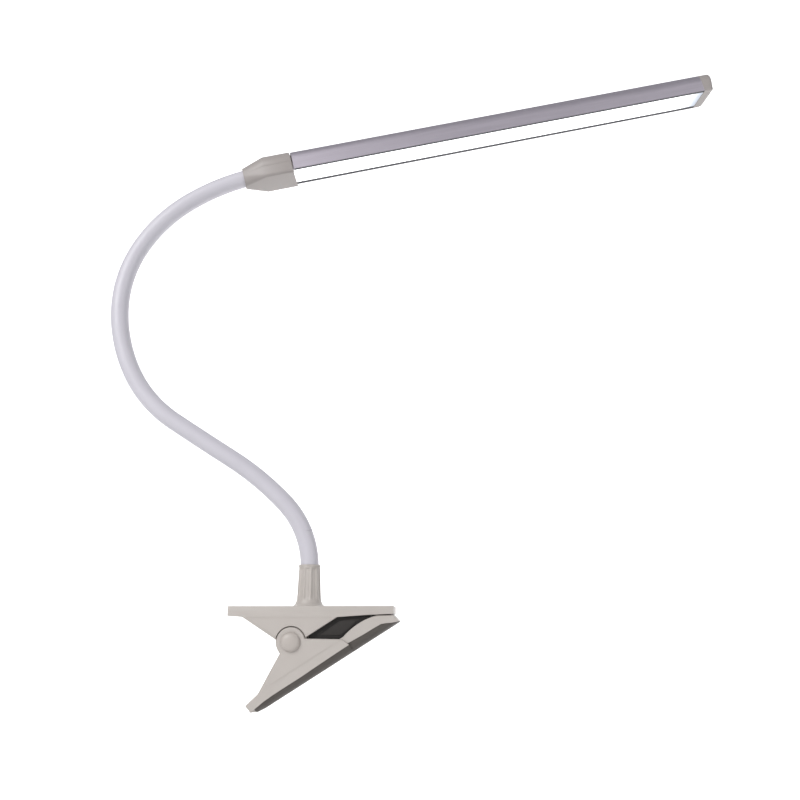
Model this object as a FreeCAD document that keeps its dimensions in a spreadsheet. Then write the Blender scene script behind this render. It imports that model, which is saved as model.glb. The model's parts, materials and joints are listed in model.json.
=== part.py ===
"""Clip-on reading lamp: a sprung plastic clip, a bendable gooseneck arm and an LED bar head.

Millimetres, +Z up, +X along the jaws. The origin is the middle of the upper jaw's gripping face.
The clip is drawn about its pivot pin, the gooseneck link by link from the clip's stem,
and the head in a frame of its own that is then turned and lifted onto the gooseneck's end.
"""
import FreeCAD, Part
import math
import os
import re

import Sketcher

os.makedirs("parts", exist_ok=True)
doc = FreeCAD.newDocument("reading_lamp")
sheet = doc.addObject("Spreadsheet::Sheet", "sheet")

# ---------------------------------------------------------------- driving dimensions
SIZES = {
    # where the pivot pin lies from the origin
    "pivot_x": -47.5, "pivot_z": -13.75,
    # how far parts of one moulding run into each other, and how far cuts reach past what they cut
    "merge": 0.4, "overcut": 10.0,
    # clip: widths across the jaws, wall thicknesses, pivot
    "clip_width": 34.0, "upper_inside": 29.0, "lower_inside": 29.6, "nose_width": 32.0,
    "lug_inside": 24.4, "notch_radius": 8.1, "ear_radius": 7.5, "lug_radius": 6.5,
    "pin_radius": 2.0, "pin_hole": 2.05, "pin_length": 34.1,
    "cap_radius": 5.15, "cap_edge": 0.9, "cap_height": 2.6, "cap_stud": 1.0,
    "stud_hole": 1.03, "stud_length": 4.0, "stud_hole_deep": 4.5,
    "plate_under": 15.6, "end_wall": 2.2, "arch_radius": 36.0,
    # clearances of the rubber jaw pads at the front and at each side
    "pad_clear": 0.1, "pad_side": 0.2,
    # stem that holds the gooseneck
    "stem_x": 6.87, "stem_foot": 9.2, "stem_base": 6.6, "stem_tip": 5.75,
    "stem_low": 18.0, "stem_shoulder": 20.2, "stem_top": 40.5, "stem_flare": 2.6,
    "bore_low": 4.0, "bore_high": 4.6, "bore_step": 27.0, "seat_radius": 5.1, "seat_depth": 1.82,
    # threaded ferrule, washer and nut under the plate
    "thread_radius": 3.95, "thread_bore": 2.3, "thread_low": 9.6, "crimp_radius": 4.55,
    "crimp_bore": 3.87, "crimp_top": 37.5, "crimp_step": 27.1, "core_seat": 27.7,
    "washer_radius": 6.6, "washer_hole": 4.1, "washer_thick": 0.6,
    "nut_flats": 12.0, "nut_thick": 3.2, "nut_hole": 4.0,
    # torsion spring
    "coil_radius": 5.1, "coil_wire": 0.8, "coil_length": 10.0, "leg_inset": 1.1,
    # cord grommet in the rear web
    "grommet_x": -11.0, "grommet_z": 10.6, "grommet_bore": 1.75, "grommet_neck": 2.6,
    "grommet_flange": 3.4, "flange_thick": 1.3, "grommet_tail": 3.0, "web_hole": 2.65,
    # gooseneck: sleeve over a wound steel core over the twin lead
    "link_count": 8.0, "link_length": 39.3, "link_gap": 1.7, "neck_low": 38.68, "neck_turn": 6.0,
    "sleeve_radius": 5.0, "sleeve_bore": 4.0, "core_radius": 3.85, "core_bore": 2.2,
    "lead_radius": 1.5, "core_tail": 10.9, "sleeve_tail": 4.0, "lead_tail": 20.0,
    # head: how far the gooseneck's end stands behind its mouth, its tilt, and the bar's section
    "neck_in": 27.0, "neck_rise": 4.9, "head_tilt": 14.0,
    "bar_width": 20.0, "bar_height": 14.0, "bar_round": 7.5, "bar_wall": 1.4,
    "bar_start": 0.8, "bar_length": 266.2, "shelf_low": 5.3, "shelf_thick": 1.2,
    "diffuser_width": 16.9, "diffuser_thick": 1.6, "diffuser_low": 0.25,
    "diffuser_short": 0.1, "rail_thick": 1.0, "rail_wide": 1.0, "rail_clear": 0.05,
    "board_width": 14.0, "board_thick": 1.0, "board_length": 256.0, "board_start": 6.0,
    "chip_start": 11.0, "chip_count": 36.0, "chip_pitch": 7.0, "chip_long": 3.5, "chip_wide": 2.8,
    "chip_tall": 0.75,
    "connector_long": 6.0, "connector_wide": 5.0, "connector_tall": 2.1, "connector_lap": 1.4,
    "cap_long": 6.7, "plug_long": 5.0, "cap_clear": 0.08,
    # neck housing: two shells about the gooseneck's end
    "shell_back": 29.5, "shell_corner": 16.5, "shell_drop": 1.7, "shell_over": 0.6,
    "shell_wall": 1.5, "shell_round": 7.5, "shell_foot": 1.6, "shell_split": 5.0,
    "shell_eye": 5.9, "shell_eye_w": 4.74, "eye_clear": 0.15, "eye_flat": 0.3,
    "tongue_root": 5.0, "tongue_long": 5.5, "root_inset": 0.5, "root_high": 7.3,
    "boss_radius": 2.4, "boss_bore": 1.0, "boss_top": 12.1, "boss_sink": 0.7,
    "screw_radius": 0.97, "screw_head": 1.7, "screw_head_tall": 1.2, "screw_long": 9.0,
    "screw_along": -10.0, "screw_across": 5.2, "screw_seat": 10.3, "sink_radius": 1.9,
    "crimp_long": 6.5, "crimp_gap": 0.3, "collar_radius": 5.2, "collar_thick": 2.0,
    "wire_radius": 1.0, "wire_back": -6.6, "wire_front": 1.0, "wire_high": 5.2, "wire_low": 3.3,
}
# how far each link of the gooseneck bends in its own plane, from the clip up, left turns positive
BENDS = [44.0, 14.0, -1.0, -31.0, -25.0, -30.0, -25.0, -18.0]
# corners of the clip's outlines in the plane of the jaws, from the pivot
CORNERS = {
    "grip_top": (-33.7, 18.3), "jaw_top": (53.5, 18.3), "jaw_end": (53.5, 14.2),
    "jaw_rim": (41.0, 13.75), "throat_top": (24.0, 12.6), "notch_right": (7.75, 2.355),
    "notch_left": (-8.0, 1.27), "web_left": (-26.0, 12.7), "grip_low": (-33.7, 13.2),
    "ear_right": (7.3, 1.72), "web_right": (26.8, 1.4), "arch_low": (27.4, 2.7),
    "arch_top": (44.6, 13.5), "nose_top": (53.2, 13.6), "nose_tip": (56.4, 10.4),
    "lever_low": (-17.2, -35.4), "lever_end": (-19.6, -35.1), "lever_top": (-22.5, -31.7),
    "lever_kink": (-16.2, -25.8), "ear_left": (-5.3, -5.307),
    "floor_right": (42.8, 5.0), "floor_left": (-16.6, -32.0), "floor_end": (-23.7, -23.6),
    "step_mid": (30.5, -1.4), "step_low": (33.5, -4.1),
    "pad_back_high": (15.5, 13.75),
    "pad_seat_left": (9.0, -1.9), "pad_seat_mid": (31.3, -1.9),
    "pad_seat_right": (42.6, 5.2), "pad_front_low": (42.6, 13.3), "pad_rise_low": (38.0, 13.45),
    "pad_top_low": (15.5, 13.45), "pad_step_low": (15.5, 9.0), "pad_left_low": (9.0, 9.0),
    "spring_top_root": (-3.2, 4.0), "spring_top_foot": (-20.0, 14.3),
    "spring_low_root": (-4.3, -2.7), "spring_low_foot": (-13.4, -28.2),
}


def fill_sheet():
    """Write every driving dimension into the sheet, one alias to a row."""
    cells = dict(SIZES)
    for number, bend in enumerate(BENDS, 1):
        cells["bend_%d" % number] = bend
    for name, (across, up) in CORNERS.items():
        cells[name + "_x"] = across
        cells[name + "_z"] = up
    for row, (alias, value) in enumerate(cells.items(), 1):
        sheet.set("A%d" % row, alias)
        sheet.set("B%d" % row, str(value))
        sheet.setAlias("B%d" % row, alias)
    doc.recompute()


def size(alias):
    """A driving dimension, read back from the sheet."""
    return float(sheet.get(alias))


def value_of(expression):
    """The number that an expression on the sheet's aliases comes to."""
    return float(sheet.evalExpression(expression))


def bound(expression):
    """The same expression as another object has to write it."""
    return re.sub(r"[a-z_]+[a-z_0-9]*",
                  lambda word: ("sheet." if word[0] in ALIASES else "") + word[0], expression)


# ---------------------------------------------------------------- sketches and features
def new_body(name, place=None):
    """An empty body, standing at the pivot unless a placement is given."""
    body = doc.addObject("PartDesign::Body", name)
    body.Label = name
    if place is None:
        body.setExpression("Placement.Base.x", "sheet.pivot_x")
        body.setExpression("Placement.Base.z", "sheet.pivot_z")
    else:
        body.Placement = place
    return body


def sketch_on(body, role, lift=None, shift=None, rise=None):
    """A sketch on an origin plane of the body, lifted off it and shifted along it."""
    sketch = body.newObject("Sketcher::SketchObject", body.Name + "_sketch")
    plane = next(f for f in body.Origin.OriginFeatures if f.Role == role)
    sketch.AttachmentSupport = (plane, [""])
    sketch.MapMode = "FlatFace"
    for axis, expression in (("x", shift), ("y", rise), ("z", lift)):
        if expression:
            sketch.setExpression("AttachmentOffset.Base." + axis, bound(expression))
    return sketch


def hold(sketch, kind, *where, expression):
    """One dimension of a sketch, bound to the sheet."""
    number = value_of(expression)
    if kind != "Radius" and abs(number) < 1e-9:
        axis = -2 if kind == "DistanceX" else -1
        sketch.addConstraint(Sketcher.Constraint("PointOnObject", *where[-2:], axis))
        return
    index = sketch.addConstraint(Sketcher.Constraint(kind, *where, number))
    sketch.setExpression("Constraints[%d]" % index, bound(expression))


def circle(sketch, radius, across="0", up="0"):
    """A circle whose centre and radius are bound to the sheet."""
    centre = FreeCAD.Vector(value_of(across), value_of(up), 0)
    edge = sketch.addGeometry(Part.Circle(centre, FreeCAD.Vector(0, 0, 1), value_of(radius)))
    hold(sketch, "DistanceX", -1, 1, edge, 3, expression=across)
    hold(sketch, "DistanceY", -1, 1, edge, 3, expression=up)
    hold(sketch, "Radius", edge, expression=radius)


def outline(sketch, corners, arcs=None):
    """A closed outline through bound corners. arcs gives, for the side after a corner, its radius
    and its turn: 1 anticlockwise, -1 clockwise."""
    arcs = arcs or {}
    points = [FreeCAD.Vector(value_of(a), value_of(b), 0) for a, b in corners]
    sides = []
    for number, start in enumerate(points):
        end = points[(number + 1) % len(points)]
        if number in arcs:
            radius, turn = arcs[number]
            sides.append(add_arc(sketch, start, end, value_of(radius), turn))
        else:
            sides.append((sketch.addGeometry(Part.LineSegment(start, end)), 1, 2))
    for number, (edge, first, last) in enumerate(sides):
        following, its_first, _ = sides[(number + 1) % len(sides)]
        sketch.addConstraint(Sketcher.Constraint("Coincident", edge, last, following, its_first))
        hold(sketch, "DistanceX", -1, 1, edge, first, expression=corners[number][0])
        hold(sketch, "DistanceY", -1, 1, edge, first, expression=corners[number][1])
        if number in arcs:
            hold(sketch, "Radius", edge, expression=arcs[number][0])


def add_arc(sketch, start, end, radius, turn):
    """An arc of less than half a circle between two points. Returns its edge and its two ends."""
    chord = end - start
    middle = (start + end) * 0.5
    side = FreeCAD.Vector(-chord.y, chord.x, 0).normalize() * turn
    centre = middle + side * math.sqrt(max(radius**2 - (chord.Length / 2) ** 2, 0))
    first, last = (start, end) if turn > 0 else (end, start)
    ring = Part.Circle(centre, FreeCAD.Vector(0, 0, 1), radius)
    angles = [math.atan2(p.y - centre.y, p.x - centre.x) for p in (first, last)]
    edge = sketch.addGeometry(Part.ArcOfCircle(ring, *angles))
    return (edge, 1, 2) if turn > 0 else (edge, 2, 1)


def corners_of(*names):
    """Named corners of the clip as pairs of expressions."""
    return [(name + "_x", name + "_z") for name in names]


def box_outline(sketch, left, right, low, high):
    """A rectangle between four bound limits."""
    outline(sketch, [(left, low), (right, low), (right, high), (left, high)])


def extrude(body, sketch, kind, length, midplane=False, reverse=False):
    """A Pad or a Pocket of a sketch, checked to have changed the body."""
    feature = body.newObject("PartDesign::" + kind, body.Name + "_" + kind.lower())
    feature.Profile = sketch
    feature.setExpression("Length", bound(length))
    feature.Midplane = midplane
    feature.Reversed = reverse
    return feature


def pad(body, sketch, length, **how):
    return extrude(body, sketch, "Pad", length, **how)


def pocket(body, sketch, length, **how):
    """A cut that must remove something."""
    doc.recompute()
    before = body.Shape.Volume
    feature = extrude(body, sketch, "Pocket", length, **how)
    doc.recompute()
    if body.Shape.Volume > before - 1e-6:
        raise ValueError("the pocket in %s cuts nothing" % body.Label)
    return feature


def turned(body, sketch, kind="Revolution", angle=None):
    """A Revolution or a Groove about the sketch's upright axis."""
    feature = body.newObject("PartDesign::" + kind, body.Name + "_" + kind.lower())
    feature.Profile = sketch
    feature.ReferenceAxis = (sketch, ["V_Axis"])
    feature.Angle = 360
    if angle:
        feature.setExpression("Angle", bound(angle))
    return feature


# ---------------------------------------------------------------- clip
def upper_arm():
    """Moulded upper arm: plate with a deep rim, two pivot lugs and the stem, in one piece."""
    body = new_body("upper_arm")
    side = sketch_on(body, "XZ_Plane")
    rim = corners_of("grip_top", "grip_low", "web_left", "notch_left", "notch_right",
                     "throat_top", "jaw_rim", "jaw_end", "jaw_top")
    outline(side, rim, {3: ("notch_radius", -1)})
    pad(body, side, "clip_width", midplane=True)
    hollow = sketch_on(body, "XZ_Plane")
    box_outline(hollow, "grip_low_x + end_wall", "jaw_end_x - end_wall", "0 - overcut",
                "plate_under")
    pocket(body, hollow, "upper_inside", midplane=True)
    lug = sketch_on(body, "XZ_Plane")
    outline(lug, [("lug_radius", "plate_under + merge"), ("0 - lug_radius", "plate_under + merge"),
                  ("0 - lug_radius", "0"), ("0", "0 - lug_radius"), ("lug_radius", "0")],
            {2: ("lug_radius", 1), 3: ("lug_radius", 1)})
    pad(body, lug, "upper_inside + merge", midplane=True)
    between = sketch_on(body, "XZ_Plane")
    box_outline(between, "0 - notch_radius", "notch_radius", "0 - notch_radius", "plate_under")
    pocket(body, between, "lug_inside", midplane=True)
    stem = sketch_on(body, "XZ_Plane", shift="stem_x")
    outline(stem, [("0", "stem_low"), ("stem_foot", "stem_low"), ("stem_base", "stem_shoulder"),
                   ("stem_tip", "stem_top"), ("0", "stem_top")], {1: ("stem_flare", -1)})
    turned(body, stem)
    bore = sketch_on(body, "XZ_Plane", shift="stem_x")
    outline(bore, [("0", "plate_under - merge"), ("bore_low", "plate_under - merge"),
                   ("bore_low", "bore_step"), ("bore_high", "bore_step"),
                   ("bore_high", "stem_top - seat_depth"),
                   ("seat_radius", "stem_top - seat_depth"),
                   ("seat_radius", "stem_top + merge"), ("0", "stem_top + merge")])
    turned(body, bore, "Groove")
    pin = sketch_on(body, "XZ_Plane")
    circle(pin, "pin_hole")
    pocket(body, pin, "clip_width + overcut", midplane=True)
    outlet = sketch_on(body, "XZ_Plane")
    circle(outlet, "web_hole", "grommet_x", "grommet_z")
    pocket(body, outlet, "clip_width")
    return body


def lower_arm():
    """Moulded lower arm: straight outer plate, two webs with the pivot ears, and the nose."""
    body = new_body("lower_arm")
    side = sketch_on(body, "XZ_Plane")
    rim = corners_of("ear_right", "ear_left", "lever_kink", "lever_top", "lever_end",
                     "lever_low", "nose_tip", "nose_top", "arch_top", "arch_low", "web_right")
    rim.insert(1, ("0", "ear_radius"))
    outline(side, rim, {0: ("ear_radius", 1), 1: ("ear_radius", 1), 9: ("arch_radius", 1)})
    pad(body, side, "clip_width", midplane=True)
    hollow = sketch_on(body, "XZ_Plane")
    outline(hollow, corners_of("floor_right", "floor_left", "floor_end")
            + [("floor_end_x", "plate_under"), ("floor_right_x", "plate_under")])
    pocket(body, hollow, "lower_inside", midplane=True)
    for lift, reverse in (("nose_width / 2", True), ("0 - nose_width / 2", False)):
        inset = sketch_on(body, "XZ_Plane", lift=lift)
        outline(inset, corners_of("step_low", "step_mid", "web_right")
                + [("web_right_x", "plate_under"), ("nose_tip_x + overcut", "plate_under"),
                   ("nose_tip_x + overcut", "step_low_z")])
        pocket(body, inset, "overcut", reverse=reverse)
    pin = sketch_on(body, "XZ_Plane")
    circle(pin, "pin_hole")
    pocket(body, pin, "clip_width + overcut", midplane=True)
    return body


def pivot_pin():
    """Steel pin through the ears and lugs, drilled at both ends for the caps' studs."""
    body = new_body("pivot_pin")
    section = sketch_on(body, "XZ_Plane")
    circle(section, "pin_radius")
    pad(body, section, "pin_length", midplane=True)
    for lift, reverse in (("pin_length / 2", False), ("0 - pin_length / 2", True)):
        drilling = sketch_on(body, "XZ_Plane", lift=lift)
        circle(drilling, "stud_hole")
        pocket(body, drilling, "stud_hole_deep", reverse=reverse)
    return body


def pin_cap(name, side):
    """Domed snap-in cap on the pin's end. side is -1 at the front and 1 at the back."""
    face = size("pin_length") / 2
    place = FreeCAD.Placement(
        FreeCAD.Vector(size("pivot_x"), side * face, size("pivot_z")),
        FreeCAD.Rotation(FreeCAD.Vector(0, 0, 1), FreeCAD.Vector(0, side, 0)))
    body = new_body(name, place)
    section = sketch_on(body, "XZ_Plane")
    rise = "( cap_height - cap_edge )"
    dome = "( cap_radius * cap_radius + %s * %s ) / ( 2 * %s )" % (rise, rise, rise)
    outline(section, [("0", "0 - stud_length"), ("cap_stud", "0 - stud_length"),
                      ("cap_stud", "0"), ("cap_radius", "0"), ("cap_radius", "cap_edge"),
                      ("0", "cap_height")], {4: (dome, 1)})
    turned(body, section)
    return body


def jaw_pad(name, corners):
    """Soft dark rubber block that lines one jaw, as wide as the upper jaw lets it be."""
    body = new_body(name)
    side = sketch_on(body, "XZ_Plane")
    outline(side, corners)
    pad(body, side, "upper_inside - 2 * pad_side", midplane=True)
    return body


def torsion_spring():
    """Wound spring about the pin, drawn as a sleeve with its two straight legs."""
    place = FreeCAD.Vector(size("pivot_x"), 0, size("pivot_z"))
    across = FreeCAD.Vector(0, 1, 0)
    half, wire = size("coil_length") / 2, size("coil_wire")
    outer, inner = size("coil_radius") + wire, size("coil_radius") - wire
    shape = Part.makeCylinder(outer, 2 * half, -across * half, across)
    shape = shape.cut(Part.makeCylinder(inner, 2 * half, -across * half, across))
    inset = half - size("leg_inset")
    for leg, offset in (("spring_top", -inset), ("spring_low", inset)):
        low = FreeCAD.Vector(size(leg + "_root_x"), offset, size(leg + "_root_z"))
        high = FreeCAD.Vector(size(leg + "_foot_x"), offset, size(leg + "_foot_z"))
        shape = shape.fuse(Part.makeCylinder(wire, (high - low).Length, low, high - low))
    spring = doc.addObject("Part::Feature", "torsion_spring")
    spring.Label = "torsion_spring"
    spring.Shape = shape.removeSplitter()
    spring.Placement = FreeCAD.Placement(place, FreeCAD.Rotation())
    return spring


def neck_ferrule():
    """Threaded brass tube crimped on the core's lower end; it passes through the plate."""
    body = new_body("neck_ferrule")
    section = sketch_on(body, "XZ_Plane", shift="stem_x")
    outline(section, [("thread_bore", "thread_low"), ("thread_radius", "thread_low"),
                      ("thread_radius", "crimp_step"), ("crimp_radius", "crimp_step"),
                      ("crimp_radius", "crimp_top"), ("crimp_bore", "crimp_top"),
                      ("crimp_bore", "core_seat"), ("thread_bore", "core_seat")])
    turned(body, section)
    return body


def plate_washer():
    """Steel washer between the plate and the nut."""
    body = new_body("plate_washer")
    section = sketch_on(body, "XY_Plane", lift="plate_under - washer_thick", shift="stem_x")
    circle(section, "washer_radius")
    circle(section, "washer_hole")
    pad(body, section, "washer_thick")
    return body


def hexagon(sketch, flats):
    """A regular hexagon about the sketch's origin with two sides across the X axis."""
    half, corner = flats + " / 2", flats + " / sqrt(3)"
    low = "0 - " + corner + " / 2"
    high = corner + " / 2"
    outline(sketch, [(half, low), (half, high), ("0", corner), ("0 - " + half, high),
                     ("0 - " + half, low), ("0", "0 - " + corner)])


def plate_nut():
    """Thin hexagon nut that pulls the ferrule down on the stem's step."""
    body = new_body("plate_nut")
    section = sketch_on(body, "XY_Plane", shift="stem_x",
                        lift="plate_under - washer_thick - nut_thick")
    hexagon(section, "nut_flats")
    circle(section, "nut_hole")
    pad(body, section, "nut_thick")
    return body


def cord_grommet():
    """Rubber bush in the upper arm's rear web, where the supply cord goes in."""
    place = FreeCAD.Placement(
        FreeCAD.Vector(size("pivot_x") + size("grommet_x"), size("clip_width") / 2,
                       size("pivot_z") + size("grommet_z")),
        FreeCAD.Rotation(FreeCAD.Vector(0, 0, 1), FreeCAD.Vector(0, 1, 0)))
    body = new_body("cord_grommet", place)
    section = sketch_on(body, "XZ_Plane")
    inside = "upper_inside / 2 - clip_width / 2"
    outline(section, [("grommet_bore", inside + " - flange_thick"),
                      ("grommet_flange", inside + " - flange_thick"),
                      ("grommet_flange", inside), ("grommet_neck", inside),
                      ("grommet_neck", "0"), ("grommet_flange", "0"),
                      ("grommet_flange", "flange_thick"),
                      ("grommet_neck", "flange_thick + grommet_tail"),
                      ("grommet_bore", "flange_thick + grommet_tail")])
    turned(body, section)
    return body


# ---------------------------------------------------------------- gooseneck
def neck_frame(along):
    """Point and direction of the gooseneck's centre line, so far along it from the stem."""
    link = size("link_length")
    turn = math.radians(size("neck_turn"))
    plane = FreeCAD.Vector(math.cos(turn), math.sin(turn), 0)
    up = FreeCAD.Vector(0, 0, 1)
    foot = FreeCAD.Vector(size("pivot_x") + size("stem_x"), 0,
                          size("pivot_z") + size("neck_low"))
    across, rise, heading, left = 0.0, 0.0, math.pi / 2, along
    for number in range(1, int(size("link_count")) + 1):
        bend = math.radians(size("bend_%d" % number))
        step = min(max(left, 0), link)
        radius = link / bend
        swing = step / radius
        across += radius * (math.sin(heading + swing) - math.sin(heading))
        rise -= radius * (math.cos(heading + swing) - math.cos(heading))
        heading += swing
        left -= step
    ahead = plane * math.cos(heading) + up * math.sin(heading)
    return foot + plane * across + up * rise, ahead


def neck_link(kind, number, outer, inner, tail):
    """One link of one layer of the gooseneck. The end links carry a straight tail."""
    link, gap, last = size("link_length"), size("link_gap"), int(size("link_count"))
    bend = size("bend_%d" % number)
    first_link, last_link = number == 1, number == last
    start = (number - 1) * link + (0 if first_link else gap / 2)
    point, ahead = neck_frame(number * link if last_link else start)
    turn = math.radians(size("neck_turn"))
    normal = FreeCAD.Vector(math.sin(turn), -math.cos(turn), 0)
    inward = normal.cross(ahead) * (1 if bend > 0 else -1)
    if last_link:
        ahead = ahead * -1
    place = FreeCAD.Placement(point, FreeCAD.Rotation(inward, FreeCAD.Vector(), ahead, "ZXY"))
    body = new_body("%s_link_%d" % (kind, number), place)
    gaps = "0.5" if first_link or last_link else "1"
    angle = "abs(bend_%d) * ( 1 - %s * link_gap / link_length )" % (number, gaps)
    radius = "link_length * 180 / ( abs(bend_%d) * pi )" % number
    ring = sketch_on(body, "XY_Plane", shift=radius)
    for wall in (outer, inner):
        if wall:
            circle(ring, wall, "0 - " + radius)
    turned(body, ring, angle=angle)
    if tail and (first_link or last_link):
        straight = sketch_on(body, "XY_Plane")
        for wall in (outer, inner):
            if wall:
                circle(straight, wall)
        pad(body, straight, tail, reverse=True)
    return body


def gooseneck():
    """All links of the sleeve, the wound core and the twin lead."""
    made = []
    last = int(size("link_count"))
    for number in range(1, last + 1):
        sleeve_tail = "sleeve_tail" if number == last else None
        made.append(neck_link("sleeve", number, "sleeve_radius", "sleeve_bore", sleeve_tail))
        made.append(neck_link("core", number, "core_radius", "core_bore", "core_tail"))
        made.append(neck_link("lead", number, "lead_radius", None, "lead_tail"))
    return made


# ---------------------------------------------------------------- head
def head_place():
    """Placement of the head's frame: origin at the mouth, X along the bar, Z out of its back."""
    rotation = (FreeCAD.Rotation(FreeCAD.Vector(0, 0, 1), size("neck_turn"))
                * FreeCAD.Rotation(FreeCAD.Vector(0, 1, 0), -size("head_tilt")))
    neck_end, _ = neck_frame(size("link_count") * size("link_length"))
    offset = FreeCAD.Vector(size("neck_in"), 0, -size("neck_rise"))
    return FreeCAD.Placement(neck_end + rotation.multVec(offset), rotation)


def bar_section(sketch, inset="0"):
    """The bar's outline: flat below, upright sides and a well rounded back."""
    half = "( bar_width / 2 - %s )" % inset
    top = "( bar_height - %s )" % inset
    radius = "( bar_round - %s )" % inset
    outline(sketch, [(half, "0"), (half, "%s - %s" % (top, radius)),
                     ("%s - %s" % (half, radius), top), ("0 - %s + %s" % (half, radius), top),
                     ("0 - " + half, "%s - %s" % (top, radius)), ("0 - " + half, "0")],
            {1: (radius, 1), 3: (radius, 1)})


def duct_section(sketch, clearance):
    """The duct between the shelf and the bar's rounded back."""
    half = "( bar_width / 2 - bar_wall - %s )" % clearance
    top = "( bar_height - bar_wall - %s )" % clearance
    floor = "( shelf_low + shelf_thick + %s )" % clearance
    radius = "( %s - %s )" % (top, floor)
    outline(sketch, [(half, floor), ("%s - %s" % (half, radius), top),
                     ("%s - %s" % (radius, half), top), ("0 - " + half, floor)],
            {0: (radius, 1), 2: (radius, 1)})


def bar_extrusion():
    """Anodised aluminium extrusion with a shelf for the board and rails for the diffuser."""
    body = new_body("bar_extrusion", head_place())
    section = sketch_on(body, "YZ_Plane", lift="bar_start")
    bar_section(section)
    pad(body, section, "bar_length - bar_start")
    inner = "( bar_width / 2 - bar_wall )"
    upper = sketch_on(body, "YZ_Plane", lift="0 - overcut")
    duct_section(upper, "0")
    pocket(body, upper, "bar_length + 2 * overcut", reverse=True)
    lower = sketch_on(body, "YZ_Plane", lift="0 - overcut")
    rail = "diffuser_low + diffuser_thick + rail_clear"
    rail_top = rail + " + rail_thick"
    groove = "( diffuser_width / 2 + rail_clear )"
    outline(lower, [(inner, rail_top), (inner, "shelf_low"), ("0 - " + inner, "shelf_low"),
                    ("0 - " + inner, rail_top), ("rail_wide - " + inner, rail_top),
                    ("rail_wide - " + inner, rail), ("0 - " + groove, rail),
                    ("0 - " + groove, "0 - merge"), (groove, "0 - merge"), (groove, rail),
                    (inner + " - rail_wide", rail), (inner + " - rail_wide", rail_top)])
    pocket(body, lower, "bar_length + 2 * overcut", reverse=True)
    return body


def diffuser():
    """Opal strip that closes the bar's underside."""
    body = new_body("diffuser", head_place())
    section = sketch_on(body, "YZ_Plane", lift="bar_start")
    box_outline(section, "0 - diffuser_width / 2", "diffuser_width / 2", "diffuser_low",
                "diffuser_low + diffuser_thick")
    pad(body, section, "bar_length - bar_start - diffuser_short")
    return body


def led_board():
    """White aluminium-core board on the shelf's underside."""
    body = new_body("led_board", head_place())
    section = sketch_on(body, "YZ_Plane", lift="board_start")
    box_outline(section, "0 - board_width / 2", "board_width / 2", "shelf_low - board_thick",
                "shelf_low")
    pad(body, section, "board_length")
    return body


def led_chips():
    """The row of LED packages soldered on the board."""
    body = new_body("led_chips", head_place())
    first = sketch_on(body, "XY_Plane", lift="shelf_low - board_thick - chip_tall")
    box_outline(first, "chip_start", "chip_start + chip_long", "0 - chip_wide / 2",
                "chip_wide / 2")
    pad(body, first, "chip_tall")
    return body


def chip_row():
    """Every LED package as a separate solid, copied along the board from the first."""
    first = led_chips()
    doc.recompute()
    row = doc.addObject("Part::Feature", "led_chip_row")
    along = head_place().Rotation.multVec(FreeCAD.Vector(1, 0, 0))
    shape = first.Shape
    copies = []
    for number in range(int(size("chip_count"))):
        chip = shape.copy()
        chip.translate(along * size("chip_pitch") * number)
        copies.append(chip)
    row.Shape = Part.makeCompound(copies)
    first.Label = "first_chip"
    row.Label = "led_chips"
    return row


def board_connector():
    """Plug-in connector on the back of the board's start, where the leads land."""
    body = new_body("board_connector", head_place())
    block = sketch_on(body, "XY_Plane", lift="shelf_low - board_thick - connector_tall")
    box_outline(block, "board_start + connector_lap - connector_long",
                "board_start + connector_lap", "0 - connector_wide / 2", "connector_wide / 2")
    pad(body, block, "connector_tall")
    return body


def end_cap():
    """Moulded cap that closes the bar's far end, with a plug that presses into it."""
    body = new_body("end_cap", head_place())
    face = sketch_on(body, "YZ_Plane", lift="bar_length")
    bar_section(face)
    pad(body, face, "cap_long")
    plug = sketch_on(body, "YZ_Plane", lift="bar_length - plug_long")
    duct_section(plug, "cap_clear")
    pad(body, plug, "plug_long + merge")
    return body


def rounded_outline(sketch, half, low, high, radius, foot):
    """An outline with flats between rounded corners: radius for the upper two, foot the lower."""
    upper, lower = half + " - " + radius, half + " - " + foot
    outline(sketch, [(half, low + " + " + foot), (half, high + " - " + radius), (upper, high),
                     ("%s - %s" % (radius, half), high), ("0 - " + half, high + " - " + radius),
                     ("0 - " + half, low + " + " + foot), ("%s - %s" % (foot, half), low),
                     (lower, low)],
            {1: (radius, 1), 3: (radius, 1), 5: (foot, 1), 7: (foot, 1)})


def shell_sections(body, inset, eye):
    """The three outlines that a neck shell's skin runs through: mouth, corner and eye."""
    made = []
    for lift in ("0", "0 - shell_corner"):
        section = sketch_on(body, "YZ_Plane", lift=lift)
        rounded_outline(section, "( bar_width / 2 + shell_over - %s )" % inset,
                        "( %s - shell_drop )" % inset, "( bar_height - %s )" % inset,
                        "( shell_round - %s )" % inset, "( shell_foot - %s )" % inset)
        made.append(section)
    ring = sketch_on(body, "YZ_Plane", lift="0 - shell_back")
    corner = "( %s - eye_flat )" % eye
    rounded_outline(ring, eye, "( shell_eye_w - %s )" % eye, "( shell_eye_w + %s )" % eye,
                    corner, corner)
    made.append(ring)
    return made


def loft(body, kind, sections):
    """A straight-sided loft through sections."""
    feature = body.newObject("PartDesign::" + kind, body.Name + "_" + kind.lower())
    feature.Profile = sections[0]
    feature.Sections = sections[1:]
    feature.Ruled = True
    return feature


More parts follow.
